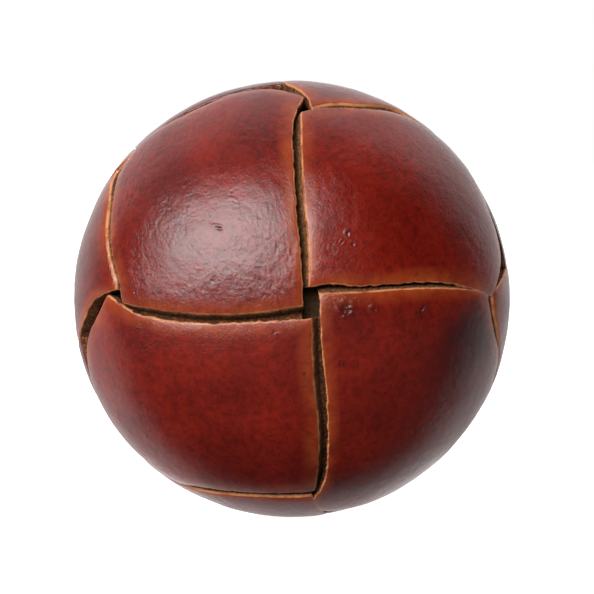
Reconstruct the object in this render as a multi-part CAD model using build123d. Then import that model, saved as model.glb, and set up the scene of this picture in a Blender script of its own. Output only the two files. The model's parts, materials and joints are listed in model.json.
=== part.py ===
from build123d import *
import os

# Woven leather shank button, in millimetres.
# It is modelled lying on its back: local +Z out of the front, local +Y up as worn. It is turned
# upright at the end, so that the front faces -Y, +Z is up and the origin is the middle of the eye.

# Driving dimensions
DIAMETER = 25.0             # across the widest plane
CROWN = 7.8                 # height of the crown in front of the widest plane
REAR_RADIUS = 3.2           # rounding from the side to the back
LEATHER = 0.8               # thickness of a woven strip
GLUE_LINE = 0.02            # left between glued surfaces
GAP = 0.55                  # width of the grooves between strips
WEAVE_SHIFT = 0.9           # the hand weave's centre lies this far to the right of the axis
STRIP_EDGE = 11.0           # from the axis to a front strip's outer cut edge
END_DIVE = 12.15            # from the axis to where an end goes down under the girdle
GIRDLE_REAR = 46.0          # degrees round the rear corner to the girdle's rear edge
END_SINK = 60.0             # degrees round the rear corner to where an end comes off the girdle
STEP_LENGTH = 7.0           # degrees of profile that a step between layers takes
STEP_PLAY = 1.0             # degrees by which a girdle step stops short of the girdle's edges
TUCK_RADIUS = 6.6           # how far in the ends reach under the back disc
BACK_DISC_RADIUS = 9.0
BACK_DISC_THICKNESS = 1.0
DISC_ROUNDING = 0.33        # radius of the back disc's rear edge
CORE_DISC_RADIUS = 6.2
CORE_DISC_THICKNESS = 0.8
SHANK_WIDTH = 3.0           # width of the shank's leather and length of its eye
SHANK_LEATHER = 0.9
EYE_RADIUS = 1.25
FOOT_REACH = 4.2            # from the axis to the end of each shank foot
FOLD_SLIT = 0.06            # between the two legs of the folded shank
SLOT_PLAY = 0.05            # round the shank where it passes through
FOOT_PLAY = 0.04            # in front of and behind the shank's feet
NECK = 0.15                 # from the back disc to the outside of the loop

# Worked out from them
RIM = DIAMETER / 2
REAR_START = RIM - REAR_RADIUS                  # radius where the flat back begins
CORE_BACK = -(REAR_RADIUS - 2 * LEATHER)        # rear face of the core
END_BACK = CORE_BACK - LEATHER                  # rear face of the tucked ends
DISC_BACK = END_BACK - BACK_DISC_THICKNESS      # rear face of the back disc
LOOP_RADIUS = EYE_RADIUS + SHANK_LEATHER
EYE_HEIGHT = DISC_BACK - NECK - LOOP_RADIUS
FOOT_BACK = CORE_BACK + CORE_DISC_THICKNESS     # where the shank's feet lie on the core disc
FAR = 2 * DIAMETER

# A layer is a height above the core in leathers: 0 is the core and 2 the outside.
PLAY = GLUE_LINE / LEATHER
LOWER = (PLAY, 1 - PLAY)
UPPER = (1, 2)
STEP = (0.5, 1.5)

# Places along a layer's profile, in degrees: 86 is the edge of the small pressed flat on the crown,
# 0 is the rim and -90 the edge of the flat back.
CROWN_FLAT = 86
BACK_END = -90


def profile_angle(radius):
    """The place on the front of the profile that is this far from the axis."""
    rise = (RIM**2 - radius**2) ** 0.5
    return Vector(radius, rise).get_angle(Vector(1, 0))


def layer_curve(layer, start, end):
    """The profile of a layer from start to end, as joined arcs in the XZ plane."""
    drop = (2 - layer) * LEATHER
    edges = []
    if start > 0:
        low = max(end, 0)
        radii = (RIM - drop, CROWN - drop)
        edges.append(EllipticalCenterArc((0, 0), *radii, low, arc_size=start - low))
    if end < 0:
        high = min(start, 0)
        edges.append(CenterArc((REAR_START, 0), REAR_RADIUS - drop, high, end - high))
    return edges


def layer_point(layer, place):
    """The point of a layer's profile at one place."""
    drop = (2 - layer) * LEATHER
    reach = Vector(1, 0, 0).rotate(Axis.Z, place)
    if place >= 0:
        return (reach.X * (RIM - drop), reach.Y * (CROWN - drop))
    radius = REAR_RADIUS - drop
    return (REAR_START + reach.X * radius, reach.Y * radius)


def end_edge(layers, place, inner):
    """The profile's end: straight across, or along a flat to the radius inner and across there."""
    low = layer_point(layers[0], place)
    high = layer_point(layers[1], place)
    if inner is None:
        return Line(low, high)
    return Polyline(low, (inner, low[1]), (inner, high[1]), high)


def ring(runs, inner=None):
    """A full ring of leather. Each run is (layers, start, end) along the profile, and each one
    begins where the one before it ends. With inner it goes on along the flat back to that radius."""
    edges = []
    for layers, start, end in runs:
        for layer in layers:
            edges += layer_curve(layer, start, end)
    for (before, _, place), (after, _, _) in zip(runs, runs[1:]):
        for side in (0, 1):
            edges.append(Line(layer_point(before[side], place), layer_point(after[side], place)))
    first_layers, start, _ = runs[0]
    last_layers, _, end = runs[-1]
    edges.append(end_edge(first_layers, start, 0 if start == CROWN_FLAT else None))
    edges.append(end_edge(last_layers, end, inner))
    return revolve(Plane.XZ * make_face(edges), Axis.Z)


def from_weave_centre(shape, angle):
    """Turn a cutting prism about the centre of the weave."""
    return Pos(WEAVE_SHIFT, 0, 0) * Rotation(0, 0, angle) * shape


def wedge(start, end):
    """An upright prism between two angles about the weave's centre, half a gap inside each."""
    reach = Vector(FAR, 0, 0)
    low = reach.rotate(Axis.Z, (start - end) / 2)
    high = reach.rotate(Axis.Z, (end - start) / 2)
    tip = Vector(GAP * FAR / (2 * high.Y), 0, 0)
    corners = make_face(Polyline(tip, tip + low, tip + high, close=True))
    return from_weave_centre(extrude(corners, FAR, both=True), (start + end) / 2)


def seam(angle):
    """An upright slab as wide as the gap, running outwards from the weave's centre."""
    slab = Pos(GAP / 2 + FAR / 2, 0, 0) * Box(FAR, GAP, 2 * FAR)
    return from_weave_centre(slab, angle)


def joined(pieces):
    """The pieces of one strip as one solid."""
    return pieces[0].fuse(*pieces[1:])


def front_strip(turn):
    """One of the four front strips, in its place at this turn.

    At no turn it is the left one: on top between 90 and 180 degrees, and under its neighbour from
    180 to 270. Its upper end goes under the girdle and its lower end over it.
    """
    edge = profile_angle(STRIP_EDGE)
    risen = profile_angle(STRIP_EDGE + GAP)
    dive = profile_angle(END_DIVE)
    dived = dive - STEP_LENGTH
    sunk = -END_SINK - STEP_LENGTH
    upper_runs = [
        (UPPER, CROWN_FLAT, dive),
        (STEP, dive, dived),
        (LOWER, dived, BACK_END),
    ]
    lower_runs = [
        (LOWER, CROWN_FLAT, edge),
        (STEP, edge, risen),
        (UPPER, risen, -END_SINK),
        (STEP, -END_SINK, sunk),
        (LOWER, sunk, BACK_END),
    ]
    upper_panel = ring([(UPPER, CROWN_FLAT, edge)]) & wedge(turn + 90, turn + 180)
    upper_end = ring(upper_runs, TUCK_RADIUS) & wedge(turn + 90, turn + 135)
    crossing = ring([(STEP, CROWN_FLAT, edge)]) & seam(turn + 180)
    lower_panel = ring([(LOWER, CROWN_FLAT, edge)]) & wedge(turn + 180, turn + 270)
    lower_end = ring(lower_runs, TUCK_RADIUS) & wedge(turn + 225, turn + 270)
    return joined([upper_end, upper_panel, crossing, lower_panel, lower_end])


def girdle_strip():
    """The narrow strip round the side, over and under the eight ends in turn."""
    over_start = profile_angle(END_DIVE) - STEP_LENGTH - STEP_PLAY
    under_start = profile_angle(STRIP_EDGE + GAP) - STEP_PLAY
    over = ring([(UPPER, over_start, -GIRDLE_REAR)])
    under = ring([(LOWER, under_start, -GIRDLE_REAR)])
    step = ring([(STEP, over_start - STEP_PLAY, STEP_PLAY - GIRDLE_REAR)])
    pieces = []
    for turn in (0, 90, 180, 270):
        pieces.append(over & wedge(turn, turn + 45))
        pieces.append(step & seam(turn + 45))
        pieces.append(under & wedge(turn + 45, turn + 90))
        pieces.append(step & seam(turn + 90))
    return joined(pieces)


def core_dome():
    """The pressed dome under the leather, with a seat for the core disc and the shank's feet."""
    arcs = layer_curve(-PLAY, CROWN_FLAT, BACK_END)
    crown = layer_point(-PLAY, CROWN_FLAT)
    back = layer_point(-PLAY, BACK_END)
    outline = arcs + [Polyline(crown, (0, crown[1]), (0, back[1]), back)]
    body = revolve(Plane.XZ * make_face(outline), Axis.Z)
    seat_depth = CORE_DISC_THICKNESS + GLUE_LINE
    seat = Pos(0, 0, CORE_BACK) * Cylinder(CORE_DISC_RADIUS + GLUE_LINE, 2 * seat_depth)
    foot_room = Pos(0, 0, FOOT_BACK + SHANK_LEATHER / 2) * Box(
        SHANK_WIDTH + 2 * SLOT_PLAY,
        2 * (FOOT_REACH + SLOT_PLAY),
        SHANK_LEATHER + 2 * FOOT_PLAY,
    )
    return body - seat - foot_room


def shank_slot():
    """The room that the folded shank takes where it goes through a disc."""
    return Box(
        SHANK_WIDTH + 2 * SLOT_PLAY,
        2 * SHANK_LEATHER + FOLD_SLIT + 2 * SLOT_PLAY,
        FAR,
    )


def core_disc():
    """The stiff disc in the back of the core that keeps the shank's feet in."""
    middle = CORE_BACK + CORE_DISC_THICKNESS / 2
    disc = Pos(0, 0, middle) * Cylinder(CORE_DISC_RADIUS, CORE_DISC_THICKNESS - GLUE_LINE)
    return disc - shank_slot()


def back_disc():
    """The leather disc over the tucked ends, with its rear edge rounded."""
    middle = (END_BACK + DISC_BACK) / 2
    thickness = BACK_DISC_THICKNESS - GLUE_LINE
    disc = Pos(0, 0, middle) * Cylinder(BACK_DISC_RADIUS, thickness)
    rear_edge = disc.edges().group_by(Axis.Z)[0]
    return fillet(rear_edge, DISC_ROUNDING) - shank_slot()


def shank_loop():
    """The folded leather strip: a round eye, two legs side by side and two feet turned out."""
    stem_half = SHANK_LEATHER + FOLD_SLIT / 2
    foot_front = FOOT_BACK + SHANK_LEATHER
    stem_height = foot_front - EYE_HEIGHT
    loop = Pos(0, EYE_HEIGHT) * Circle(LOOP_RADIUS)
    stem = Pos(0, EYE_HEIGHT + stem_height / 2) * Rectangle(2 * stem_half, stem_height)
    feet = Pos(0, FOOT_BACK + SHANK_LEATHER / 2) * Rectangle(2 * FOOT_REACH, SHANK_LEATHER)
    eye = Pos(0, EYE_HEIGHT) * Circle(EYE_RADIUS)
    slit = Pos(0, EYE_HEIGHT + stem_height / 2) * Rectangle(FOLD_SLIT, stem_height)
    outline = loop + stem + feet - eye - slit
    return extrude(Plane.YZ * outline, SHANK_WIDTH / 2, both=True)


def worn(shape):
    """Stand a piece upright, with the eye's middle at the origin."""
    return Rotation(90, 0, 0) * Pos(0, 0, -EYE_HEIGHT) * shape


pieces = {
    "strip_left": front_strip(0),
    "strip_upper": front_strip(-90),
    "strip_right": front_strip(180),
    "strip_lower": front_strip(90),
    "girdle_strip": girdle_strip(),
    "core_dome": core_dome(),
    "core_disc": core_disc(),
    "back_disc": back_disc(),
    "shank_loop": shank_loop(),
}

os.makedirs("parts", exist_ok=True)
for name, shape in pieces.items():
    export_step(worn(shape), f"parts/{name}.step")
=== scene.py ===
import json
import math

import bpy
import numpy as np
from mathutils import Matrix, Vector


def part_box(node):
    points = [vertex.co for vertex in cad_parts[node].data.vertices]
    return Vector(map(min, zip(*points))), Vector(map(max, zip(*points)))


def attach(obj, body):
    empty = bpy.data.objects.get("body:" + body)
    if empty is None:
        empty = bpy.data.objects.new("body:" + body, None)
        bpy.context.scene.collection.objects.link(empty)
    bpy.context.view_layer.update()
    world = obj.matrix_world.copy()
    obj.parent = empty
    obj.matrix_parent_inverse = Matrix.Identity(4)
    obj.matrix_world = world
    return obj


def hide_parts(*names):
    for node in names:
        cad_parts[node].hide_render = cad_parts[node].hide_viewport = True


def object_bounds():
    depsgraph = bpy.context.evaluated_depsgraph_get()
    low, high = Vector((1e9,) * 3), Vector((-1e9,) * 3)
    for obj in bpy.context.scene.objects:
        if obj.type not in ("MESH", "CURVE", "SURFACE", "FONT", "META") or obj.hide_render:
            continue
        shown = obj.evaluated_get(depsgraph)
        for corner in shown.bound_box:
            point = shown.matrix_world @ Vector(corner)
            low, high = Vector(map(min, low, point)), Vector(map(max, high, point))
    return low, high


# A woven leather shank button. Shapes are worked out in millimetres in the button's own frame:
# u to the right, v up and w out of the front. new_piece turns them into the shared frame.

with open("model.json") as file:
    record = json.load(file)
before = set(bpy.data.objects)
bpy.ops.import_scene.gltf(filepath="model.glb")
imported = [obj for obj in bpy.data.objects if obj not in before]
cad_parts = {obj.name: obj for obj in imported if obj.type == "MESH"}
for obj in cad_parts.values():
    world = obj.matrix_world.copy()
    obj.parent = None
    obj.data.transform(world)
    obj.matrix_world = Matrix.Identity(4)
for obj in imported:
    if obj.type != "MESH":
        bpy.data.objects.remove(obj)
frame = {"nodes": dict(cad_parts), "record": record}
cad_low, cad_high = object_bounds()
MM = 0.001

# ---------------------------------------------------------------- sizes read from the frame
upper_low, upper_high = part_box("strip_upper")
disc_low, disc_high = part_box("back_disc")
shank_low, shank_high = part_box("shank_loop")
LEATHER = 0.8
REAR_RADIUS = 3.2
RIM = (cad_high[0] - cad_low[0]) / 2 / MM
WIDEST_Y = upper_high[1] / MM - (REAR_RADIUS - LEATHER)
CROWN = WIDEST_Y - cad_low[1] / MM
EYE_RADIUS = frame["record"]["mounts"][0]["dims"]["r_mm"]
SHANK_HALF_WIDTH = (shank_high[0] - shank_low[0]) / 2 / MM
SHANK_LEATHER = shank_high[1] / MM - EYE_RADIUS
SHANK_FRONT = WIDEST_Y - shank_low[1] / MM
FOOT_REACH = shank_high[2] / MM
WEAVE_X = (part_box("strip_left")[1][0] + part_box("strip_right")[0][0]) / 2 / MM
WEAVE_Y = (upper_low[2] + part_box("strip_lower")[1][2]) / 2 / MM

# ---------------------------------------------------------------- sizes of the leather
THICKNESS = 0.76            # of a strip between its face and its underside
DEEP = -LEATHER             # height of an end that lies under another strip
REAR_ARC = REAR_RADIUS * math.pi / 2    # along the surface from the rim to the flat back
TUCK_ARC = REAR_ARC + 2.7   # from the rim to where the ends stop under the back disc
PANEL_LENGTH = 11.2
PANEL_WIDTH = 10.2
FACE_STEP = 0.06            # between the points of a face
EDGE_RADIUS = 0.08          # rounding of a cut edge
EDGE_SAG = 0.07             # how far the face falls towards a cut edge or a fold
EDGE_SAG_REACH = 0.35
EDGE_SPREAD = 0.08          # how far the cut edges lean out over the grooves
EDGE_SPREAD_REACH = 0.5
FOOT_SPREAD = 0.06          # how far a foot bulges over its groove
TAIL_GAP = 0.24             # between a far end and the neighbour it comes up beside
TAIL_START = 226.5          # degrees round the axis, of an unturned strip's far end at the rim
GIRDLE_REAR = 46            # degrees round the rear corner to the girdle's rear edge
AWAY = 3.0                  # a distance that counts as far from any fold
SKIN_FRONT = 1500           # points of the profile from the crown to the rim
SKIN_CORNER = 400
SKIN_BACK = 200


# ---------------------------------------------------------------- noise
def value_noise(x, y, seed):
    """Smooth noise from -1 to 1 with one bump per unit."""
    table = np.random.default_rng(seed).random((256, 256)) * 2 - 1
    column = np.floor(x).astype(int)
    row = np.floor(y).astype(int)
    fx = x - column
    fy = y - row
    fx = fx * fx * fx * (fx * (fx * 6 - 15) + 10)
    fy = fy * fy * fy * (fy * (fy * 6 - 15) + 10)
    a = table[column % 256, row % 256]
    b = table[(column + 1) % 256, row % 256]
    c = table[column % 256, (row + 1) % 256]
    d = table[(column + 1) % 256, (row + 1) % 256]
    return (a * (1 - fx) + b * fx) * (1 - fy) + (c * (1 - fx) + d * fx) * fy


def rough_noise(x, y, seed, octaves=3):
    """Value noise with finer and weaker copies of itself on top."""
    total = np.zeros_like(x, dtype=float)
    for octave in range(octaves):
        scale = 2.03**octave
        total += value_noise(x * scale, y * scale, seed + octave) / 1.9**octave
    return total


def line_noise(x, row, seed):
    """Value noise along a line, row telling one line from another."""
    return value_noise(x, np.full_like(x, row), seed)


def rough_line_noise(x, row, seed):
    """Rough noise along a line, row telling one line from another."""
    return rough_noise(x, np.full_like(x, row), seed)


# ---------------------------------------------------------------- the moulded surface
def profile():
    """The outside from crown to back: distance along it, radius, height, and its normal."""
    front = np.radians(np.linspace(90, 0, SKIN_FRONT))
    rear = np.radians(np.linspace(0, -90, SKIN_CORNER))[1:]
    flat = np.linspace(RIM - REAR_RADIUS, 1.0, SKIN_BACK)[1:]
    radius = np.concatenate([RIM * np.cos(front), RIM - REAR_RADIUS + REAR_RADIUS * np.cos(rear), flat])
    height = np.concatenate(
        [CROWN * np.sin(front), REAR_RADIUS * np.sin(rear), np.full_like(flat, -REAR_RADIUS)]
    )
    out = np.concatenate([np.cos(front) / RIM, np.cos(rear), np.zeros_like(flat)])
    up = np.concatenate([np.sin(front) / CROWN, np.sin(rear), -np.ones_like(flat)])
    size = np.hypot(out, up)
    steps = np.hypot(np.diff(radius), np.diff(height))
    distance = np.concatenate([[0], np.cumsum(steps)])
    return distance, radius, height, out / size, up / size


DISTANCE, RADIUS, HEIGHT, OUTWARD, UPWARD = profile()
RIM_DISTANCE = DISTANCE[SKIN_FRONT - 1]


def polar(distance, angle):
    """Flat-map points from distances and angles in radians."""
    return np.stack([distance * np.cos(angle), distance * np.sin(angle)], axis=-1)


def on_skin(plane, lift):
    """Points in space from points of the skin's flat map and heights above the moulded surface."""
    distance = np.hypot(plane[..., 0], plane[..., 1])
    angle = np.arctan2(plane[..., 1], plane[..., 0])
    radius = np.interp(distance, DISTANCE, RADIUS) + lift * np.interp(distance, DISTANCE, OUTWARD)
    height = np.interp(distance, DISTANCE, HEIGHT) + lift * np.interp(distance, DISTANCE, UPWARD)
    return np.stack([radius * np.cos(angle), radius * np.sin(angle), height], axis=-1)


def seen_point(x, y):
    """The flat map's point for one seen from the front, from the button's axis."""
    radius = math.hypot(x, y)
    distance = np.interp(radius, RADIUS[:SKIN_FRONT], DISTANCE[:SKIN_FRONT])
    return np.array([x, y]) * distance / max(radius, 1e-9)


def rim_point(angle, before):
    """The flat map's point at an angle round the axis and a distance before the rim."""
    return polar(RIM_DISTANCE - before, math.radians(angle))


def through(points, places):
    """A smooth curve through points, read at places from 0 to 1."""
    points = np.asarray(points, float)
    gaps = np.sqrt(np.linalg.norm(np.diff(points, axis=0), axis=1))
    knots = np.concatenate([[0], np.cumsum(gaps)])
    knots /= knots[-1]
    slopes = np.gradient(points, knots, axis=0)
    index = np.clip(np.searchsorted(knots, places, side="right") - 1, 0, len(points) - 2)
    span = (knots[index + 1] - knots[index])[:, None]
    f = ((places - knots[index]) / span[:, 0])[:, None]
    return (
        points[index] * (1 + 2 * f) * (1 - f) ** 2
        + slopes[index] * span * f * (1 - f) ** 2
        + points[index + 1] * f * f * (3 - 2 * f)
        + slopes[index + 1] * span * f * f * (f - 1)
    )


# ---------------------------------------------------------------- the woven strips
# Each strip is described as if it were the left one, from the weave's centre, as seen from the
# front: foot is its lower edge where it dives, inner the cut edge by the middle, outer the cut edge
# at the side. outer_rim and head_rim carry on as degrees round the axis and millimetres before the
# rim. The free cut edge of its far end starts at tail_corner and follows tail_rim to the rim. A scar
# is (x, y, length, width, angle, depth) and a stain (x, y, radius, amount).
STRIPS = {
    "strip_left": {
        "turn": 0,
        "foot": [(-10.7, -0.05), (-9.3, -0.3), (-7.0, -0.56), (-4.8, -0.62), (-2.4, -0.42), (-0.58, -0.12)],
        "inner": [(-0.58, -0.12), (-0.76, 3.0), (-0.98, 5.7), (-1.08, 8.0), (-1.02, 10.2), (-0.35, 11.7)],
        "outer": [(-10.7, -0.05), (-10.85, 1.2), (-11.2, 2.5), (-11.35, 4.0), (-11.2, 5.6), (-10.77, 7.33)],
        "outer_rim": [(139, 1.2), (134.5, 0.35)],
        "head_rim": [(130, 0.7), (124, 1.35), (114.7, 1.7), (105.4, 1.5), (97, 1.9)],
        "tail_corner": (0.05, -11.18),
        "tail_rim": [(279, 0)],
        "scars": [(-5.3, 4.2, 0.32, 0.13, -15, 0.05), (-4.36, 5.7, 0.28, 0.08, -40, 0.04)],
        "stains": [(-8.2, 6.5, 2.2, 0.5)],
        "wrinkle": 1.0,
    },
    "strip_upper": {
        "turn": -90,
        "foot": [(-10.8, -0.46), (-8.0, -0.47), (-5.7, -0.36), (-3.0, -0.14), (-0.92, -0.12)],
        "inner": [
            (-0.92, -0.12), (-1.12, 1.0), (-1.0, 2.4), (-1.08, 4.6),
            (-1.18, 6.4), (-1.03, 8.2), (-0.23, 10.5),
        ],
        "outer": [(-10.8, -0.46), (-11.0, 1.5), (-10.94, 2.85), (-10.7, 4.92)],
        "outer_rim": [(144, 0.8), (139, 0.3), (134.5, 0.05)],
        "head_rim": [(128, 0.2), (122, 0.55), (115, 1.2), (108.4, 1.5), (101, 1.95)],
        "tail_corner": (-0.74, -11.1),
        "tail_rim": [(267.9, 4.3), (270.3, 3.35), (274.5, 2.35), (278.2, 1.35), (282, 0)],
        "scars": [
            (-3.9, 2.0, 0.2, 0.12, 10, 0.05),
            (-3.3, 2.3, 0.16, 0.1, 60, 0.04),
            (-3.4, 1.7, 0.14, 0.1, 0, 0.04),
        ],
        "stains": [(-4.5, 8.5, 2.4, 0.35)],
        "wrinkle": 0.45,
    },
    "strip_right": {
        "turn": 180,
        "foot": [(-10.15, -0.5), (-8.2, -0.68), (-6.4, -0.74), (-4.2, -0.63), (-2.4, -0.52), (-0.48, -0.45)],
        "inner": [
            (-0.48, -0.45), (-0.57, 1.9), (-0.85, 4.6), (-1.0, 6.9),
            (-1.03, 8.7), (-0.85, 10.4), (-0.11, 11.6),
        ],
        "outer": [(-10.15, -0.5), (-10.3, 0.6), (-10.55, 1.8)],
        "outer_rim": [(164, 1.6), (157, 0.8), (148, 0.25), (134.5, -0.1)],
        "head_rim": [(122, -0.15), (112, 0.05), (104, 0.7), (98, 1.7)],
        "tail_corner": (-0.17, -11.05),
        "tail_rim": [(266, 3.05), (269.2, 1.85), (271.2, 1.1), (273, 0)],
        "scars": [
            (-1.9, 0.34, 0.42, 0.36, 0, 0.07),
            (-3.46, 0.34, 0.2, 0.18, 0, 0.05),
            (-6.24, 0.4, 0.5, 0.15, 45, 0.07),
            (-1.6, 3.4, 0.14, 0.12, 0, 0.04),
            (-5.3, 4.2, 0.12, 0.12, 0, 0.03),
        ],
        "stains": [(-9.4, 1.5, 1.9, 1.0), (-8.2, 3.9, 2.4, 0.55)],
        "wrinkle": 0.4,
    },
    "strip_lower": {
        "turn": 90,
        "foot": [(-10.88, -0.25), (-8.7, -0.4), (-6.8, -0.33), (-4.2, -0.05), (-0.95, 0.07)],
        "inner": [
            (-0.95, 0.07), (-1.1, 2.6), (-1.22, 4.6), (-1.25, 6.6),
            (-1.03, 8.6), (-0.75, 9.85), (0.3, 11.6),
        ],
        "outer": [(-10.88, -0.25), (-10.95, 2.6), (-10.88, 4.4), (-10.65, 6.4)],
        "outer_rim": [(148, 1.2), (141, 0.55), (134.5, 0.15)],
        "head_rim": [(124, 0.05), (116, 0.4), (109.5, 1.15), (103.5, 1.95), (99.5, 2.65), (94.5, 3.8)],
        "tail_corner": (0.3, -10.45),
        "tail_rim": [(279.6, 0)],
        "scars": [(-2.6, 9.3, 0.95, 0.06, -62, 0.03), (-1.7, 2.1, 0.22, 0.05, 80, 0.03)],
        "stains": [(-8.5, 4.0, 2.2, 0.25)],
        "wrinkle": 0.35,
    },
}
NEXT_STRIP = {
    "strip_left": "strip_lower",
    "strip_lower": "strip_right",
    "strip_right": "strip_upper",
    "strip_upper": "strip_left",
}


def weave_centre(turn):
    """The weave's centre in the frame of a strip that is turned like this."""
    angle = math.radians(-turn)
    return (
        WEAVE_X * math.cos(angle) - WEAVE_Y * math.sin(angle),
        WEAVE_X * math.sin(angle) + WEAVE_Y * math.cos(angle),
    )


def mapped(points, turn, lower=0.0):
    """Flat-map points for a strip's own points, in its unturned frame, moved down by lower."""
    cx, cy = weave_centre(turn)
    return [seen_point(x + cx, y + cy - lower) for x, y in points]


def tail_edge(spec):
    """The free cut edge of a strip's far end, from its corner to the rim."""
    return mapped([spec["tail_corner"]], spec["turn"]) + [rim_point(*place) for place in spec["tail_rim"]]


def turned(plane, angle):
    """Flat-map points turned about the button's axis."""
    c = math.cos(math.radians(angle))
    s = math.sin(math.radians(angle))
    x = plane[..., 0] * c - plane[..., 1] * s
    y = plane[..., 0] * s + plane[..., 1] * c
    return np.stack([x, y], axis=-1)


def spaced(length, step, fine=(0.0, 0.02, 0.05, 0.09, 0.14, 0.2, 0.28, 0.38, 0.5)):
    """Places from 0 to 1 along a length, close together at both ends."""
    fine = np.array(fine)
    count = max(2, int((length - 2 * fine[-1]) / step))
    middle = np.linspace(fine[-1], length - fine[-1], count + 1)
    return np.concatenate([fine[:-1], middle, length - fine[-2::-1]]) / length


ACROSS = spaced(PANEL_WIDTH, FACE_STEP)


def edge_drop(distance):
    """How far the leather's face falls this near a cut edge or a fold."""
    inside = np.clip(EDGE_RADIUS - distance, 0, EDGE_RADIUS)
    corner = EDGE_RADIUS - np.sqrt(EDGE_RADIUS**2 - inside**2)
    return corner + EDGE_SAG * np.exp(-distance / EDGE_SAG_REACH)


def coons(foot, top, outer, inner, along):
    """A net of points inside four edges."""
    c = ACROSS[None, :, None]
    t = along[:, None, None]
    low = through(foot, ACROSS)[None]
    high = through(top, ACROSS)[None]
    left = through(outer, along)[:, None]
    right = through(inner, along)[:, None]
    corners = (
        (1 - t) * (1 - c) * low[:, :1]
        + (1 - t) * c * low[:, -1:]
        + t * (1 - c) * high[:, :1]
        + t * c * high[:, -1:]
    )
    return (1 - t) * low + t * high + (1 - c) * left + c * right - corners


def between(first, last, count):
    """Rows from one cross curve to another, without the first."""
    f = np.linspace(0, 1, count + 1)[1:, None, None]
    return (1 - f) * first[None] + f * last[None]


def arc_row(start, end, before):
    """A cross curve at one distance before the rim, from angle to angle."""
    return polar(RIM_DISTANCE - before, np.radians(start + (end - start) * ACROSS))


class Net:
    """Rows of points that make a strip, each with its height, distance from a fold, and suede."""

    def __init__(self):
        self.planes = []
        self.details = ([], [], [])

    def add(self, plane, *details):
        """Add rows. Each detail is one value, one for each row or one for each point."""
        self.planes.append(plane)
        for kept, values in zip(self.details, details):
            values = np.asarray(values, float)
            if values.ndim < 2:
                values = values.reshape(-1, 1)
            kept.append(np.broadcast_to(values, plane.shape[:2]))

    def joined(self):
        """Flat-map points, heights, distances from the nearest fold, and how much suede shows."""
        return [np.concatenate(kept) for kept in (self.planes, *self.details)]


def front_panel(spec):
    """The puffed panel from its foot to the girdle, with distances from its foot or its head."""
    turn = spec["turn"]
    foot = mapped(spec["foot"], turn, FOOT_SPREAD)
    inner = foot[-1:] + mapped(spec["inner"][1:], turn)
    outer_rim = [rim_point(*place) for place in spec["outer_rim"]]
    outer = foot[:1] + mapped(spec["outer"][1:], turn) + outer_rim
    head = [rim_point(*place) for place in spec["head_rim"]]
    along = spaced(PANEL_LENGTH, FACE_STEP)
    panel = coons(foot, [outer[-1], *head, inner[-1]], outer, inner, along)
    length = np.linalg.norm(panel[-1] - panel[0], axis=-1)
    return panel, np.minimum(along, 1 - along)[:, None] * length[None]


def add_head(net, panel):
    """The near end, from its tuck behind the button to where the panel comes out of the girdle."""
    tuck = arc_row(126, 104, -TUCK_ARC)
    corner = arc_row(133, 101, -REAR_ARC)
    rim = arc_row(133.5, 100.5, 0)
    below = panel[-1] * (1 + 0.4 / np.linalg.norm(panel[-1], axis=-1, keepdims=True))
    net.add(tuck[None], DEEP, AWAY, 1)
    net.add(between(tuck, corner, 10), DEEP, AWAY, 0.6)
    net.add(between(corner, rim, 20), DEEP, AWAY, 0)
    net.add(between(rim, below, 8), DEEP, AWAY, 0)
    net.add(between(below, panel[-1], 6)[:-1], [-0.7, -0.58, -0.45, -0.32, -0.2], 0, 0.9)


def tail_rise(spec, neighbour):
    """Where the far end comes up, beside its neighbour's outer cut edge: from the rim inwards."""
    beside = [(-y, x - TAIL_GAP) for x, y in neighbour["outer"][1:]]
    rise = mapped([spec["tail_corner"], *beside], spec["turn"])
    rise += [rim_point(angle + 90, before - TAIL_GAP) for angle, before in neighbour["outer_rim"][:-1]]
    rise.append(rim_point(TAIL_START, neighbour["outer_rim"][-1][1] - TAIL_GAP))
    return rise[::-1]


def add_crossing(net, panel, tail_start):
    """The stretch that dives at the panel's foot, under the neighbour, and comes up beside it."""
    dive = panel[0] + np.array([0, -0.42])
    climb = tail_start * (1 - 0.55 / np.linalg.norm(tail_start, axis=-1, keepdims=True))
    net.add(between(panel[0], dive, 7), [-0.2, -0.3, -0.42, -0.55, -0.7, -0.84, -0.95], 0, 1)
    net.add(between(dive, climb, 30), -0.9, AWAY, 0.5)
    net.add(between(climb, tail_start, 7)[:-1], [-0.86, -0.72, -0.56, -0.42, -0.3, -0.2], 0, 1)


def add_tail(net, spec, rise, tail_start):
    """The far end: over the girdle and the rim, off the girdle behind, and in to its tuck."""
    flare = spec["tail_rim"][-1][0]
    rim = arc_row(TAIL_START, flare, 0)
    side_edge = [rise[0], rim_point(TAIL_START, 0)]
    rim_edge = [rim_point(angle, 0) for angle in np.linspace(TAIL_START, flare, 12)]
    fine = np.array([0, 0.02, 0.05, 0.1, 0.16, 0.25, 0.4]) / 1.6
    along = np.concatenate([fine, np.linspace(0.33, 1, 26)])
    fold = along[:, None] * np.linalg.norm(rim - tail_start, axis=-1)[None]
    net.add(coons(rise, rim_edge, side_edge, tail_edge(spec), along), -edge_drop(fold), fold, 0)

    far = arc_row(TAIL_START + 0.5, flare - 1, -REAR_RADIUS * math.radians(58))
    sunk = arc_row(TAIL_START + 1.5, flare - 3, -REAR_RADIUS * math.radians(70))
    tuck = arc_row(TAIL_START + 7.5, flare - 14, -TUCK_ARC)
    fold = np.linspace(1, 0, 35)[1:, None] * np.linalg.norm(far - rim, axis=-1)[None]
    net.add(between(rim, far, 34), -edge_drop(fold) * 0.8, fold + 0.2, 0)
    net.add(between(far, sunk, 8), np.linspace(-0.3, DEEP, 8), 0.3, 0.3)
    net.add(between(sunk, tuck, 14), DEEP, AWAY, 0.3)


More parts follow.
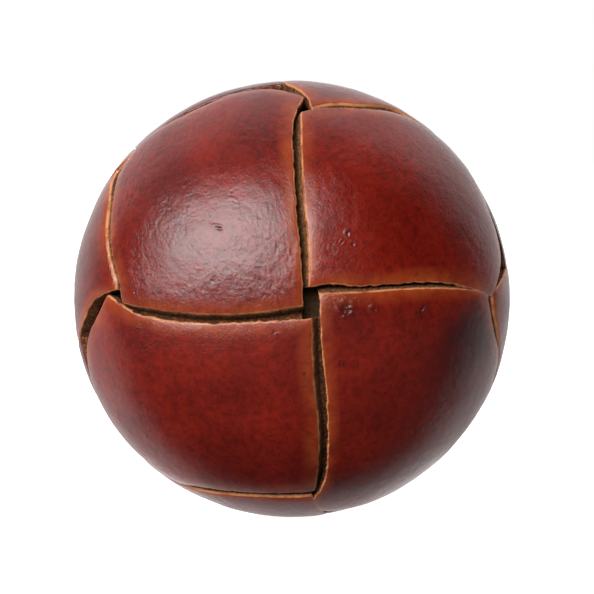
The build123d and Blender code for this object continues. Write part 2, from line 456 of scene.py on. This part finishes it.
def strip_net(name):
    """The whole strip from its near end's tuck to its far end's, in its unturned frame."""
    spec = STRIPS[name]
    panel, fold = front_panel(spec)
    rise = tail_rise(spec, STRIPS[NEXT_STRIP[name]])
    tail_start = through(rise, ACROSS)
    net = Net()
    add_head(net, panel)
    net.add(panel[::-1], -edge_drop(fold[::-1]), fold[::-1], 0)
    add_crossing(net, panel, tail_start)
    add_tail(net, spec, rise, tail_start)
    return net.joined()


# ---------------------------------------------------------------- wear and marks of the face, and painted shade in its creases
def wrinkles(x, y, seed, strength):
    """The grain of the worn face: short creases that run up the strip, and shallow pores."""
    bend = 0.5 * value_noise(x / 1.7, y / 1.7, seed + 60)
    crease = 1 - np.abs(value_noise((x + bend) / 0.14, (y - bend) / 0.42, seed + 61)) * 2.2
    second = 1 - np.abs(value_noise((x - bend) / 0.22, (y + 1.5 * bend) / 0.2, seed + 62)) * 2.2
    patch = np.clip(0.55 + 0.9 * value_noise(x / 2.4, y / 2.4, seed + 63), 0.1, 1)
    lines = np.clip(crease, 0, 1) ** 2 + 0.7 * np.clip(second, 0, 1) ** 2
    return -0.014 * strength * patch * lines


def specks(seed):
    """Tiny pits scattered over a panel, in the same form as its scars."""
    chance = np.random.default_rng(seed + 500)
    pits = []
    for _ in range(26):
        length = chance.uniform(0.05, 0.13)
        width = length * chance.uniform(0.4, 1)
        spot = (chance.uniform(-10, -1.4), chance.uniform(0.3, 10))
        pits.append((*spot, length, width, chance.uniform(0, 180), chance.uniform(0.012, 0.035)))
    return pits


def scar_field(x, y, scars):
    """Dents with a raised rim, and how dark each is, from (x, y, length, width, angle, depth)."""
    lift = np.zeros_like(x)
    dark = np.zeros_like(x)
    ragged = rough_noise(x / 0.14, y / 0.14, 7)
    for cx, cy, length, width, angle, depth in scars:
        c = math.cos(math.radians(angle))
        s = math.sin(math.radians(angle))
        along = ((x - cx) * c + (y - cy) * s) / length
        across = ((y - cy) * c - (x - cx) * s) / width
        far = np.clip(along**2 + across**2 + 0.35 * ragged, 0, None)
        rim = np.exp(-((np.sqrt(far) - 1.1) ** 2) * 6)
        lift += depth * (0.5 * rim * (1 + ragged) - 0.8 * np.exp(-far * 2.2) * (1 - 0.6 * ragged))
        dark += 0.8 * np.exp(-far * 1.3)
    return lift, np.clip(dark, 0, 1)


def stain_field(plane, world, spec, seed):
    """How dark the dye's stains are at each point of a strip."""
    ragged = 1 + 0.4 * value_noise(world[..., 0], world[..., 1], seed + 5)
    stain = np.zeros(plane.shape[:2])
    for *spot, radius, amount in spec["stains"]:
        middle = mapped([spot], spec["turn"])[0]
        far = np.linalg.norm(plane - middle, axis=-1) / radius
        stain += amount * np.exp(-(far**2) * ragged)
    return stain


def marks_and_crease_shade(plane, world, fold, suede, spec, seed):
    """A strip's scars, specks and wrinkles: their heights, and how dark each point is, from the darker scars
    and specks and from painted shade in the wrinkles' creases.
    """
    face = suede == 0
    scars = [(*mapped([scar[:2]], spec["turn"])[0], *scar[2:]) for scar in spec["scars"] + specks(seed)]
    scarred, dark = scar_field(plane[..., 0], plane[..., 1], scars)
    creases = wrinkles(world[..., 0], world[..., 1], seed, spec["wrinkle"])
    # the last term is painted shade: the face darkened along the wrinkles' creases, by their depth
    return scarred * face + creases, dark * face * (fold > 0) + np.clip(-creases / 0.03, 0, 0.45)


# ---------------------------------------------------------------- meshes
def net_faces(rows, columns, closed):
    """Quads over a net that closes across, and either closes along too or has its two ends filled."""
    index = np.arange(rows * columns).reshape(rows, columns)
    ahead = np.roll(index, -1, axis=0)
    if not closed:
        index = index[:-1]
        ahead = ahead[:-1]
    quads = np.stack([index, np.roll(index, -1, axis=1), np.roll(ahead, -1, axis=1), ahead], axis=-1)
    faces = [tuple(quad) for quad in quads.reshape(-1, 4).tolist()]
    if not closed:
        faces.append(tuple(range(columns - 1, -1, -1)))
        faces.append(tuple(range((rows - 1) * columns, rows * columns)))
    return faces


def new_piece(name, points, data, closed):
    """A mesh object in the shared frame from a net of points in the button's frame."""
    rows, columns = points.shape[:2]
    u, v, w = points.reshape(-1, 3).T
    placed = np.stack([u, WIDEST_Y - w, v], axis=-1) * MM
    mesh = bpy.data.meshes.new(name)
    mesh.from_pydata(placed.tolist(), [], net_faces(rows, columns, closed))
    mesh.update()
    for key, values in data.items():
        layer = mesh.attributes.new(key, "FLOAT", "POINT")
        layer.data.foreach_set("value", np.asarray(values, np.float32).reshape(-1))
    mesh.polygons.foreach_set("use_smooth", [True] * len(mesh.polygons))
    piece = bpy.data.objects.new(name, mesh)
    bpy.context.scene.collection.objects.link(piece)
    return piece


def cut_edge(start, outward, height, walk, seed):
    """The columns of a cut edge from its face down, in rough steps, as flat-map points and heights."""
    columns = []
    for step, depth in enumerate((0.05, 0.15, 0.3, 0.47, 0.63, THICKNESS)):
        fray = 0.035 * rough_line_noise(walk / 0.22, step * 0.8, seed)
        columns.append((start + outward * (fray - 0.02 * step)[:, None], height - depth))
    return columns


def strip_mesh(name, net, turn, seed, across=ACROSS, spec=None, closed=False):
    """A solid strip from its net: a worn face, two cut edges and an underside."""
    plane, lift, fold, suede = net
    rows, columns = lift.shape
    width = np.linalg.norm(plane[:, -1] - plane[:, 0], axis=-1)[:, None]
    from_left = across[None] * width
    from_right = (1 - across)[None] * width
    side = np.minimum(from_left, from_right)
    sideways = (plane[:, -1] - plane[:, 0]) / width
    spread = np.exp(-from_right / EDGE_SPREAD_REACH) - np.exp(-from_left / EDGE_SPREAD_REACH)
    plane = plane + EDGE_SPREAD * spread[..., None] * sideways[:, None]
    world = turned(plane, turn)
    x = world[..., 0]
    y = world[..., 1]

    uneven = 0.032 * rough_noise(x / 3.1, y / 3.1, seed, 2) + 0.005 * rough_noise(x / 0.4, y / 0.4, seed + 9)
    dark = np.zeros_like(lift)
    stain = np.zeros_like(lift)
    if spec:
        relief, dark = marks_and_crease_shade(plane, world, fold, suede, spec, seed)
        uneven += relief
        stain = stain_field(plane, world, spec, seed)
    near = np.minimum(side, fold + 0.1)
    face_lift = lift - edge_drop(side) + uneven * np.clip(near / 0.4, 0.15, 1) * (1 - suede)
    jags = [rough_noise(x / 0.3, y / 0.3, seed + 31), rough_noise(x / 0.3, y / 0.3, seed + 35)]
    world = world + 0.045 * np.exp(-near / 0.16)[..., None] * np.stack(jags, axis=-1)

    walk = np.cumsum(np.linalg.norm(np.diff(world[:, 0], axis=0, prepend=world[:1, 0]), axis=-1))
    sideways = (world[:, -1] - world[:, 0]) / width
    right = cut_edge(world[:, -1], sideways, face_lift[:, -1], walk, seed + 20)
    left = cut_edge(world[:, 0], -sideways, face_lift[:, 0], walk, seed + 40)
    below = np.linspace(columns - 1, 0, 14).astype(int)[1:-1]
    underside = [(world[:, column], lift[:, column] - THICKNESS - 0.02) for column in below]
    rest = right + underside + left[::-1]
    points = on_skin(
        np.concatenate([world] + [flat[:, None] for flat, _ in rest], axis=1),
        np.concatenate([face_lift] + [height[:, None] for _, height in rest], axis=1),
    )
    plain = np.zeros((rows, len(rest)))
    data = {
        "edge_mm": np.hstack([np.minimum(side, fold), plain]),
        "suede": np.hstack([suede, plain + 1]),
        # scar: darkness of the scars and specks, with painted shade in the creases
        "scar": np.hstack([dark, plain]),
        "stain": np.hstack([stain, plain]),
    }
    return new_piece(name, points, data, closed)


def girdle_angles():
    """Degrees round the axis, close together where the girdle dives and comes up."""
    angles = [np.linspace(0, 360, 900, endpoint=False)]
    for spec in STRIPS.values():
        for edge in (TAIL_START, spec["tail_rim"][-1][0]):
            angles.append((spec["turn"] + edge + np.linspace(-1, 1, 21) + 0.007) % 360)
    return np.unique(np.concatenate(angles))


def girdle_cover(angles):
    """How far under a far end the girdle is at each angle, from 0 to 1."""
    cover = np.zeros(len(angles))
    for spec in STRIPS.values():
        start = spec["turn"] + TAIL_START - 0.3
        end = spec["turn"] + spec["tail_rim"][-1][0] + 0.3
        off = np.abs((angles - (start + end) / 2 + 180) % 360 - 180) - (end - start) / 2
        under = np.clip(0.5 - off / 0.4, 0, 1)
        cover = np.maximum(cover, under * under * (3 - 2 * under))
    return cover


def girdle_slant(angles):
    """How much the girdle leans to follow the far ends' free edges, in degrees per millimetre."""
    slant = np.zeros(len(angles))
    for spec in STRIPS.values():
        flare = spec["tail_rim"][-1][0]
        last = tail_edge(spec)[-2]
        behind = flare - math.degrees(math.atan2(last[1], last[0])) % 360
        off = (angles - spec["turn"] - flare + 180) % 360 - 180
        slant += behind / (RIM_DISTANCE - np.hypot(*last)) * np.exp(-((off / 5) ** 2))
    return slant


def girdle_mesh():
    """The strip round the side: over the four near ends and under the four far ends."""
    angles = girdle_angles()
    cover = girdle_cover(angles)
    across = spaced(4.4, 0.1)
    front = RIM_DISTANCE - (0.95 + 0.9 * cover) + 0.12 * line_noise(angles / 9, 0, 71) * (1 - cover)
    rear = RIM_DISTANCE + REAR_RADIUS * math.radians(GIRDLE_REAR) + 0.1 * line_noise(angles / 13, 0, 72)
    distance = front[:, None] + (rear - front)[:, None] * across[None]
    before = np.clip(RIM_DISTANCE - distance, 0, None)
    plane = polar(distance, np.radians(angles[:, None] - girdle_slant(angles)[:, None] * before))
    lift = np.broadcast_to(DEEP * cover[:, None] - 0.03, distance.shape)
    fold = np.full(distance.shape, AWAY)
    suede = np.zeros(distance.shape)
    return strip_mesh("girdle_wrap", (plane, lift, fold, suede), 0, 300, across, closed=True)


def column_data(columns, shape):
    """The edge distance and suede of a net from columns of (..., edge distance, suede)."""
    edges = [np.broadcast_to(edge, shape) for *_, edge, _ in columns]
    suedes = [np.broadcast_to(suede, shape) for *_, suede in columns]
    return {"edge_mm": np.stack(edges, axis=1), "suede": np.stack(suedes, axis=1)}


def back_disc_mesh():
    """The hand-cut leather disc on the back, pressed round its edge, with the shank's slot."""
    radius = (disc_high[0] - disc_low[0]) / 2 / MM
    front = WIDEST_Y - disc_low[1] / MM
    rear = WIDEST_Y - disc_high[1] / MM
    turn = np.linspace(0, 360, 720, endpoint=False)
    c = np.cos(np.radians(turn))
    s = np.sin(np.radians(turn))
    half_x = SHANK_HALF_WIDTH + 0.05
    half_y = SHANK_LEATHER + 0.08
    slot = (np.abs(c / half_x) ** 10 + np.abs(s / half_y) ** 10) ** -0.1
    outer = radius - 0.11 + 0.045 * line_noise(turn / 14, 0, 81)

    columns = []
    for share in spaced(1.0, 0.016, (0.0, 0.004, 0.012, 0.022, 0.035, 0.05)):
        reach = (1 - share) * slot + share * outer
        near = np.minimum(outer - reach, reach - slot)
        x = reach * c
        y = reach * s
        grain = 0.02 * rough_noise(x / 1.3, y / 1.3, 84) + 0.012 * rough_noise(x / 0.35, y / 0.35, 85)
        groove = 0.06 * np.exp(-(((outer - reach - 0.75) / 0.16) ** 2))
        height = rear + 0.05 + edge_drop(near) * 0.9 + groove - grain * np.clip(near / 0.3, 0, 1)
        columns.append((reach, height, near, 0))
    walls = [(outer + 0.02 * line_noise(turn / 0.8, 9 * depth, 82), depth) for depth in (0.2, 0.4, 0.6, 0.8)]
    walls += [((1 - share) * slot + share * outer, 1) for share in (1.0, 0.6, 0.3, 0.0)]
    walls += [(slot + 0.015 * line_noise(turn / 0.9, 9 * depth, 83), depth) for depth in (0.75, 0.5, 0.25)]
    for reach, depth in walls:
        height = np.full_like(reach, rear + 0.3 + (front - rear - 0.3) * depth)
        columns.append((reach, height, 0, 1))
    points = [np.stack([reach * c, reach * s, height], axis=-1) for reach, height, _, _ in columns]
    return new_piece("leather_back", np.stack(points, axis=1), column_data(columns, turn.shape), True)


def shank_line():
    """The middle of the folded strip as (v, w) points: one foot, one leg, the eye, and back."""
    eye = WIDEST_Y
    middle = EYE_RADIUS + SHANK_LEATHER / 2
    leg = SHANK_LEATHER / 2 + 0.03
    foot = SHANK_FRONT - SHANK_LEATHER / 2
    half = [
        (FOOT_REACH, foot),
        (3.2, foot),
        (2.1, foot),
        (1.25, foot),
        (0.72, foot - 0.16),
        (leg, foot - 0.62),
        (leg, foot - 1.5),
        (leg, foot - 2.6),
        (leg + 0.03, eye + middle * 1.02 - 0.1),
        (middle * 0.66, eye + middle * 0.76),
        (middle * 0.95, eye + middle * 0.32),
        (middle * 0.98, eye - middle * 0.2),
        (middle * 0.71, eye - middle * 0.71),
        (middle * 0.26, eye - middle * 0.966),
    ]
    return through(half + [(-v, w) for v, w in reversed(half)], np.linspace(0, 1, 520))


def shank_mesh():
    """The folded strip that makes the eye, with its two feet turned out inside."""
    line = shank_line()
    way = np.gradient(line, axis=0)
    way /= np.linalg.norm(way, axis=1, keepdims=True)
    out = np.stack([way[:, 1], -way[:, 0]], axis=-1)
    walk = np.cumsum(np.linalg.norm(np.diff(line, axis=0, prepend=line[:1]), axis=1))
    wide = SHANK_HALF_WIDTH - 0.02
    thick = SHANK_LEATHER / 2 - 0.01
    across = spaced(2 * wide, 0.06) * 2 * wide - wide

    columns = []
    for u in across:
        near = wide - abs(u)
        grain = 0.014 * rough_line_noise(walk / 0.4, u / 0.4, 91) * min(1, near / 0.2)
        columns.append((u, -thick + edge_drop(near) * 0.55 - grain, near, 0))
    for share in (0.25, 0.5, 0.75):
        fray = 0.02 * rough_line_noise(walk / 0.15, 7 * share, 92)
        columns.append((wide + fray, thick * (2 * share - 1), 0, 1))
    for u in across[::-4]:
        grain = 0.012 * rough_line_noise(walk / 0.25, u / 0.25, 93)
        columns.append((u, thick - 0.02 + grain, 0.5, 0.8))
    for share in (0.75, 0.5, 0.25):
        fray = 0.02 * rough_line_noise(walk / 0.15, 7 * share, 94)
        columns.append((-wide + fray, thick * (2 * share - 1), 0, 1))
    points = []
    for u, height, _, _ in columns:
        v, w = (line + out * np.reshape(height, (-1, 1))).T
        points.append(np.stack([np.broadcast_to(u, walk.shape), v, w], axis=-1))
    return new_piece("leather_shank", np.stack(points, axis=1), column_data(columns, walk.shape), False)


# ---------------------------------------------------------------- nodes
def new_material(name):
    material = bpy.data.materials.new(name)
    material.use_nodes = True
    tree = material.node_tree
    return material, tree, tree.nodes["Principled BSDF"]


def add_node(tree, kind, **values):
    node = tree.nodes.new(kind)
    for key, value in values.items():
        setattr(node, key, value)
    return node


def feed(tree, value, socket):
    """Link a node's output to a socket, or set a number or a colour on it."""
    if hasattr(value, "is_output"):
        tree.links.new(value, socket)
    elif socket.type == "RGBA":
        socket.default_value = (*value, 1)
    else:
        socket.default_value = value


def object_place(tree):
    return add_node(tree, "ShaderNodeTexCoord").outputs["Object"]


def attribute(tree, name):
    return add_node(tree, "ShaderNodeAttribute", attribute_name=name).outputs["Fac"]


def ramp(tree, source, stops):
    """A colour ramp. A stop is (place, colour) or (place, grey)."""
    node = add_node(tree, "ShaderNodeValToRGB")
    elements = node.color_ramp.elements
    while len(elements) < len(stops):
        elements.new(0.5)
    for element, (place, colour) in zip(elements, stops):
        element.position = place
        element.color = (*np.broadcast_to(colour, 3), 1)
    tree.links.new(source, node.inputs[0])
    return node.outputs[0]


def mix(tree, factor, first, second, blend="MIX"):
    """A colour mix. Its sockets for colours are the mix node's seventh and eighth."""
    node = add_node(tree, "ShaderNodeMix", data_type="RGBA", blend_type=blend)
    for socket, value in ((0, factor), (6, first), (7, second)):
        feed(tree, value, node.inputs[socket])
    return node.outputs[2]


def calculated(tree, operation, *values):
    node = add_node(tree, "ShaderNodeMath", operation=operation)
    for socket, value in zip(node.inputs, values):
        feed(tree, value, socket)
    return node.outputs[0]


def measured(tree, operation, vector, other):
    """The dot product of a vector with a fixed one, or the distance between them."""
    node = add_node(tree, "ShaderNodeVectorMath", operation=operation)
    tree.links.new(vector, node.inputs[0])
    node.inputs[1].default_value = other
    return node.outputs["Value"]


def ranged(tree, value, low, high):
    """A value rescaled so that low gives 0 and high gives 1."""
    node = add_node(tree, "ShaderNodeMapRange")
    tree.links.new(value, node.inputs["Value"])
    node.inputs["From Min"].default_value = low
    node.inputs["From Max"].default_value = high
    return node.outputs["Result"]


def noise(tree, vector, scale, detail, roughness):
    node = add_node(tree, "ShaderNodeTexNoise")
    node.inputs["Scale"].default_value = scale
    node.inputs["Detail"].default_value = detail
    node.inputs["Roughness"].default_value = roughness
    tree.links.new(vector, node.inputs["Vector"])
    return node.outputs["Fac"]


def add_bump(tree, shader, height, strength, distance):
    bump = add_node(tree, "ShaderNodeBump")
    bump.inputs["Strength"].default_value = strength
    bump.inputs["Distance"].default_value = distance
    tree.links.new(height, bump.inputs["Height"])
    tree.links.new(bump.outputs["Normal"], shader.inputs["Normal"])


# ---------------------------------------------------------------- materials
STAIN = (0.045, 0.0025, 0.0035)
# the scars' colour, also used for the painted shade in the creases
SCAR_AND_CREASE_SHADE = (0.055, 0.008, 0.006)
# tan of bare leather, made bright as a painted highlight along the cut edges
TAN_AND_EDGE_HIGHLIGHT = (0.6, 0.24, 0.095)


def pore_pattern(tree, place):
    """Dark dots where the leather's pores are."""
    pore = add_node(tree, "ShaderNodeTexVoronoi")
    pore.inputs["Scale"].default_value = 2900
    pore.inputs["Randomness"].default_value = 1
    tree.links.new(place, pore.inputs["Vector"])
    return ramp(tree, pore.outputs["Distance"], [(0.08, (0.62, 0.5, 0.5)), (0.22, 1)])


def clouded_dye(tree, place, pores, deep, mid):
    """Dye that wanders between two colours, with finer flecks and the pores in it."""
    clouds = ramp(tree, noise(tree, place, 240, 5, 0.6), [(0.32, deep), (0.68, mid)])
    spots = noise(tree, place, 2600, 3, 0.6)
    flecks = ramp(tree, spots, [(0.3, (0.66, 0.58, 0.58)), (0.6, (1.06, 1.1, 1.1))])
    return mix(tree, 1.0, mix(tree, 1.0, clouds, flecks, "MULTIPLY"), pores, "MULTIPLY")


def rubbed_share(tree, place, edge):
    """How far the dye is rubbed off near the edges, in patches."""
    near = ramp(tree, edge, [(0.0, 1), (0.3, 0.7), (0.95, 0)])
    patches = ramp(tree, noise(tree, place, 700, 4, 0.6), [(0.35, 0.25), (0.65, 1)])
    return mix(tree, 1.0, near, patches, "MULTIPLY")


def bare_edge_and_highlight_share(tree, place, edge, strength):
    """The broken line right at the edges: bare leather, and a painted highlight on the cut edges."""
    line = ramp(tree, edge, [(0.0, 1), (0.03, 0.85), (0.085, 0)])
    broken = ramp(tree, noise(tree, place, 1300, 4, 0.7), [(0.33, 0.15), (0.58, strength)])
    return mix(tree, 1.0, line, broken, "MULTIPLY")


def fibres(tree, place):
    """The brown fibres of a cut edge and of the flesh side."""
    strands = noise(tree, place, 7600, 6, 0.75)
    stops = [(0.36, (0.012, 0.003, 0.0008)), (0.5, (0.1, 0.031, 0.006)), (0.66, (0.42, 0.17, 0.045))]
    return ramp(tree, strands, stops)


def leather_material(name, deep, mid, warm, line, line_strength, roughness):
    """Dyed leather: a face clouded between deep and mid, rubbed to warm near its edges, with a line on them
    that is bare leather and a painted highlight on the cut edges, and brown suede below. roughness is the
    face's."""
    material, tree, shader = new_material(name)
    place = object_place(tree)
    edge = attribute(tree, "edge_mm")
    suede = attribute(tree, "suede")
    pores = pore_pattern(tree, place)
    colour = clouded_dye(tree, place, pores, deep, mid)
    colour = mix(tree, attribute(tree, "stain"), colour, STAIN)
    colour = mix(tree, rubbed_share(tree, place, edge), colour, warm)
    # darker scars and specks, and painted shade in the creases
    colour = mix(tree, attribute(tree, "scar"), colour, SCAR_AND_CREASE_SHADE)
    # the edge line: bare leather and a painted highlight on the cut edges
    colour = mix(tree, bare_edge_and_highlight_share(tree, place, edge, line_strength), colour, line)
    colour = mix(tree, suede, colour, fibres(tree, place))
    tree.links.new(colour, shader.inputs["Base Color"])
    tree.links.new(ramp(tree, suede, [(0.0, roughness), (1.0, 0.95)]), shader.inputs["Roughness"])
    shader.inputs["Specular IOR Level"].default_value = 0.5
    grain = mix(tree, 0.35, noise(tree, place, 6500, 5, 0.7), pores)
    add_bump(tree, shader, grain, 0.6, 0.00005)
    return material


def board_material():
    """Pressed fibre board: mottled, with loose strands."""
    material, tree, shader = new_material("fibre_board")
    strands = noise(tree, object_place(tree), 6000, 6, 0.75)
    colour = ramp(tree, strands, [(0.3, (0.008, 0.003, 0.001)), (0.7, (0.11, 0.05, 0.016))])
    tree.links.new(colour, shader.inputs["Base Color"])
    shader.inputs["Roughness"].default_value = 0.95
    add_bump(tree, shader, strands, 0.8, 0.0001)
    return material


# ---------------------------------------------------------------- the button
def hand_in(piece, node, material):
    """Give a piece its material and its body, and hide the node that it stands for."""
    piece.data.materials.append(material)
    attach(piece, "root")
    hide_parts(node)


leather = leather_material(
    "red_brown_leather",
    deep=(0.118, 0.0046, 0.0020),
    mid=(0.215, 0.0105, 0.0034),
    warm=(0.34, 0.058, 0.012),
    # line: bare leather and a painted highlight along the cut edges
    line=TAN_AND_EDGE_HIGHLIGHT,
    line_strength=1.3,
    roughness=0.24,
)
side_leather = leather_material(
    "dark_side_leather",
    deep=(0.05, 0.006, 0.006),
    mid=(0.1, 0.011, 0.009),
    warm=(0.12, 0.014, 0.009),
    line=(0.2, 0.05, 0.02),
    line_strength=0.3,
    roughness=0.24,
)
back_leather = leather_material(
    "back_leather",
    deep=(0.07, 0.012, 0.006),
    mid=(0.14, 0.024, 0.011),
    warm=(0.2, 0.045, 0.018),
    line=TAN_AND_EDGE_HIGHLIGHT,
    line_strength=0.8,
    roughness=0.5,
)
board = board_material()
for number, (node, spec) in enumerate(STRIPS.items()):
    woven_name = node.replace("strip", "woven")
    woven = strip_mesh(woven_name, strip_net(node), spec["turn"], 100 * number, spec=spec)
    hand_in(woven, node, leather)
hand_in(girdle_mesh(), "girdle_strip", side_leather)
hand_in(back_disc_mesh(), "back_disc", back_leather)
hand_in(shank_mesh(), "shank_loop", back_leather)
for node in ("core_dome", "core_disc"):
    core = frame["nodes"][node]
    core.data.materials.clear()
    core.data.materials.append(board)

# ---------------------------------------------------------------- studio, in metres
FLOOR_Z = cad_low[2]
FLOOR_HALF = 2
FLOOR_DARK_Y = -0.0098      # the floor is dark in front of here
FLOOR_PALE_Y = -0.0066      # and pale behind here
PATCH_MIDDLE = (0.001, 0.004, FLOOR_Z)
PATCH_RADIUS = 0.0100       # of the patch that shines in reflections
PATCH_END = 0.0138


def direction(azimuth, elevation):
    """The way from the button to something at these degrees, azimuth 0 being straight in front."""
    a = math.radians(azimuth)
    e = math.radians(elevation)
    return Vector((math.sin(a) * math.cos(e), -math.cos(a) * math.cos(e), math.sin(e)))


def floor_material():
    """White to the camera. As light and in reflections it is dark in front of the button, like the
    room in front of a studio table, and pale behind it and in a patch under it."""
    material, tree, shader = new_material("pale_floor")
    place = object_place(tree)
    axes = add_node(tree, "ShaderNodeSeparateXYZ")
    tree.links.new(place, axes.inputs[0])
    depth = ranged(tree, axes.outputs["Y"], FLOOR_DARK_Y, FLOOR_PALE_Y)
    tree.links.new(ramp(tree, depth, [(0.0, 0.06), (1.0, 0.9)]), shader.inputs["Base Color"])
    shader.inputs["Roughness"].default_value = 0.9
    shader.inputs["Emission Color"].default_value = (1, 1, 1, 1)
    rays = add_node(tree, "ShaderNodeLightPath")
    glow = calculated(tree, "MULTIPLY", rays.outputs["Is Camera Ray"], 0.94)
    patch = ranged(tree, measured(tree, "DISTANCE", place, PATCH_MIDDLE), PATCH_END, PATCH_RADIUS)
    gleam = calculated(tree, "MULTIPLY", rays.outputs["Is Glossy Ray"], patch)
    light = calculated(tree, "MULTIPLY_ADD", gleam, 0.75, glow)
    tree.links.new(light, shader.inputs["Emission Strength"])
    return material


def pale_floor():
    """The floor that the button stands on."""
    far = FLOOR_HALF
    corners = [(-far, -far, FLOOR_Z), (far, -far, FLOOR_Z), (far, far, FLOOR_Z), (-far, far, FLOOR_Z)]
    mesh = bpy.data.meshes.new("floor")
    mesh.from_pydata(corners, [], [(0, 1, 2, 3)])
    mesh.materials.append(floor_material())
    floor = bpy.data.objects.new("floor", mesh)
    bpy.context.scene.collection.objects.link(floor)
    return floor


def softbox(name, azimuth, elevation, distance, width, height, power, roll):
    """A soft box that faces the button."""
    light = bpy.data.lights.new(name, "AREA")
    light.shape = "RECTANGLE"
    light.size = width
    light.size_y = height
    light.energy = power
    lamp = bpy.data.objects.new(name, light)
    way = direction(azimuth, elevation)
    lamp.location = Vector((0, WIDEST_Y * MM - 0.004, 0)) + way * distance
    facing = (-way).to_track_quat("-Z", "Y").to_matrix()
    lamp.rotation_euler = (facing @ Matrix.Rotation(math.radians(roll), 3, "Z")).to_euler()
    bpy.context.scene.collection.objects.link(lamp)


def studio_world():
    """A backdrop that is white to the camera. As light it is bright behind and above the button and
    dark in front of it."""
    world = bpy.data.worlds.new("studio")
    world.use_nodes = True
    tree = world.node_tree
    way = add_node(tree, "ShaderNodeTexCoord").outputs["Generated"]
    behind = measured(tree, "DOT_PRODUCT", way, (0, 0.83, 0.56))
    glow = ramp(tree, behind, [(0.16, 0.008), (0.52, 1.15)])
    seen = add_node(tree, "ShaderNodeLightPath").outputs["Is Camera Ray"]
    shade = mix(tree, seen, glow, (1, 1, 1))
    tree.links.new(shade, tree.nodes["Background"].inputs["Color"])
    bpy.context.scene.world = world


def front_camera(azimuth, elevation, distance, frame_width, shift_x, shift_y):
    """A camera that frames this width at the button's widest plane."""
    data = bpy.data.cameras.new("camera")
    data.clip_start = 0.005
    data.sensor_width = 36
    data.lens = data.sensor_width * distance / frame_width
    data.shift_x = shift_x
    data.shift_y = shift_y
    camera = bpy.data.objects.new("camera", data)
    way = direction(azimuth, elevation)
    camera.location = Vector((0, WIDEST_Y * MM, 0)) + way * distance
    camera.rotation_euler = (-way).to_track_quat("-Z", "Y").to_euler()
    bpy.context.scene.collection.objects.link(camera)
    return camera


pale_floor()
softbox("key_softbox", azimuth=-29, elevation=23, distance=0.30, width=0.30, height=0.16, power=1.5, roll=12)
studio_world()
bpy.context.scene.camera = front_camera(
    azimuth=-1.8, elevation=1.5, distance=0.45, frame_width=0.03398, shift_x=0.0084, shift_y=0.0034
)
bpy.context.scene.view_settings.view_transform = "Standard"
